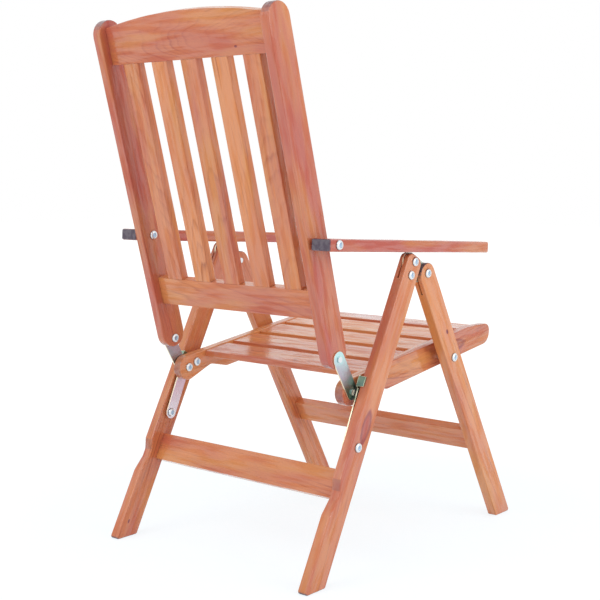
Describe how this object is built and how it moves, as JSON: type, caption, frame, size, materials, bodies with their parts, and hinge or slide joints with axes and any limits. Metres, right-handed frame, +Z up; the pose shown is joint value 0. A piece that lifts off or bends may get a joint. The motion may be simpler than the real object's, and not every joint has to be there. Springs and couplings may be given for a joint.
{
  "type": "folding garden armchair",
  "caption": "High-backed folding slatted timber armchair with a reclining back, flat arms that set the recline, crossed legs and zinc-plated fold links.",
  "frame": {"origin": "on the floor, midway between the sides and midway between the front of the feet and the back of the posts", "axes": "+X towards the sitter's left, -Y towards the front of the chair, +Z up"},
  "size_m": [0.584, 0.7868, 1.0961],
  "materials": {
    "varnished_wood": "warm brown stain under satin varnish",
    "zinc_steel": "bright zinc plate"
  },
  "bodies": {
    "rear_frame": {"rear_leg_left": "varnished_wood", "rear_leg_right": "varnished_wood", "rear_stretcher": "varnished_wood", "top_plate_left": "zinc_steel", "top_plate_right": "zinc_steel", "top_plate_bolt_upper_left": "zinc_steel", "top_plate_bolt_upper_right": "zinc_steel", "top_plate_bolt_lower_left": "zinc_steel", "top_plate_bolt_lower_right": "zinc_steel", "link_bolt_left": "zinc_steel", "link_bolt_right": "zinc_steel", "link_washer_left": "zinc_steel", "link_washer_right": "zinc_steel"},
    "front_frame": {"front_leg_left": "varnished_wood", "front_leg_right": "varnished_wood", "front_stretcher": "varnished_wood", "leg_pivot_bolt_left": "zinc_steel", "leg_pivot_bolt_right": "zinc_steel", "seat_pivot_bolt_left": "zinc_steel", "seat_pivot_bolt_right": "zinc_steel", "seat_pivot_washer_left": "zinc_steel", "seat_pivot_washer_right": "zinc_steel"},
    "link_bars": {"link_bar_left": "zinc_steel", "link_bar_right": "zinc_steel"},
    "seat": {"seat_rail_left": "varnished_wood", "seat_rail_right": "varnished_wood", "seat_slat_1": "varnished_wood", "seat_slat_2": "varnished_wood", "seat_slat_3": "varnished_wood", "seat_slat_4": "varnished_wood", "seat_slat_5": "varnished_wood", "hinge_rivet_left": "zinc_steel", "hinge_rivet_right": "zinc_steel", "spacer_bolt_left": "zinc_steel", "spacer_bolt_right": "zinc_steel", "spacer_left": "zinc_steel", "spacer_right": "zinc_steel", "spacer_nut_left": "zinc_steel", "spacer_nut_right": "zinc_steel"},
    "hinge_plates": {"hinge_plate_left": "zinc_steel", "hinge_plate_right": "zinc_steel", "post_rivet_left": "zinc_steel", "post_rivet_right": "zinc_steel"},
    "back": {"back_post_left": "varnished_wood", "back_post_right": "varnished_wood", "crest_rail": "varnished_wood", "lower_back_rail": "varnished_wood", "back_slat_1": "varnished_wood", "back_slat_2": "varnished_wood", "back_slat_3": "varnished_wood", "back_slat_4": "varnished_wood", "back_slat_5": "varnished_wood"},
    "arm_pin_left": {"arm_bolt_left": "zinc_steel", "arm_washer_left": "zinc_steel"},
    "arm_pin_right": {"arm_bolt_right": "zinc_steel", "arm_washer_right": "zinc_steel"},
    "arm_left": {"armrest_left": "varnished_wood"},
    "arm_right": {"armrest_right": "varnished_wood"}
  },
  "joints": [
    {"name": "fold", "type": "hinge", "parent": "rear_frame", "child": "front_frame", "pos_m": [0, -0.05357, 0.57632], "axis": [1, 0, 0], "range_deg": [0, 56]},
    {"name": "link_swing", "type": "hinge", "parent": "rear_frame", "child": "link_bars", "pos_m": [0, 0.18043, 0.25327], "axis": [1, 0, 0], "range_deg": [-111.5, 0]},
    {"name": "seat_swing", "type": "hinge", "parent": "link_bars", "child": "seat", "pos_m": [0, 0.12946, 0.36373], "axis": [1, 0, 0], "range_deg": [0, 90.5]},
    {"name": "recline", "type": "hinge", "parent": "seat", "child": "hinge_plates", "pos_m": [0, 0.15389, 0.35423], "axis": [1, 0, 0], "range_deg": [-35, 0]},
    {"name": "back_fold", "type": "hinge", "parent": "hinge_plates", "child": "back", "pos_m": [0, 0.19513, 0.42395], "axis": [1, 0, 0], "range_deg": [0, 97.5]},
    {"name": "arm_level_left", "type": "hinge", "parent": "back", "child": "arm_pin_left", "pos_m": [0.2392, 0.25513, 0.65107], "axis": [1, 0, 0], "range_deg": [0, 18.2]},
    {"name": "arm_level_right", "type": "hinge", "parent": "back", "child": "arm_pin_right", "pos_m": [-0.2392, 0.25513, 0.65107], "axis": [1, 0, 0], "range_deg": [0, 18.2]},
    {"name": "arm_fold_left", "type": "hinge", "parent": "arm_pin_left", "child": "arm_left", "pos_m": [0.26425, 0.25513, 0.65107], "axis": [1, 0, 0], "range_deg": [-142, 0]},
    {"name": "arm_fold_right", "type": "hinge", "parent": "arm_pin_right", "child": "arm_right", "pos_m": [-0.26425, 0.25513, 0.65107], "axis": [1, 0, 0], "range_deg": [-142, 0]}
  ],
  "couplings": [
    {"joint": "link_swing", "follows": "fold", "ratio": -1.9866},
    {"joint": "seat_swing", "follows": "fold", "ratio": 1.6102},
    {"joint": "back_fold", "follows": "fold", "ratio": 1.732},
    {"joint": "arm_fold_left", "follows": "fold", "ratio": -2.53},
    {"joint": "arm_fold_right", "follows": "fold", "ratio": -2.53},
    {"joint": "arm_level_left", "follows": "recline", "ratio": -0.514},
    {"joint": "arm_level_right", "follows": "recline", "ratio": -0.514}
  ]
}
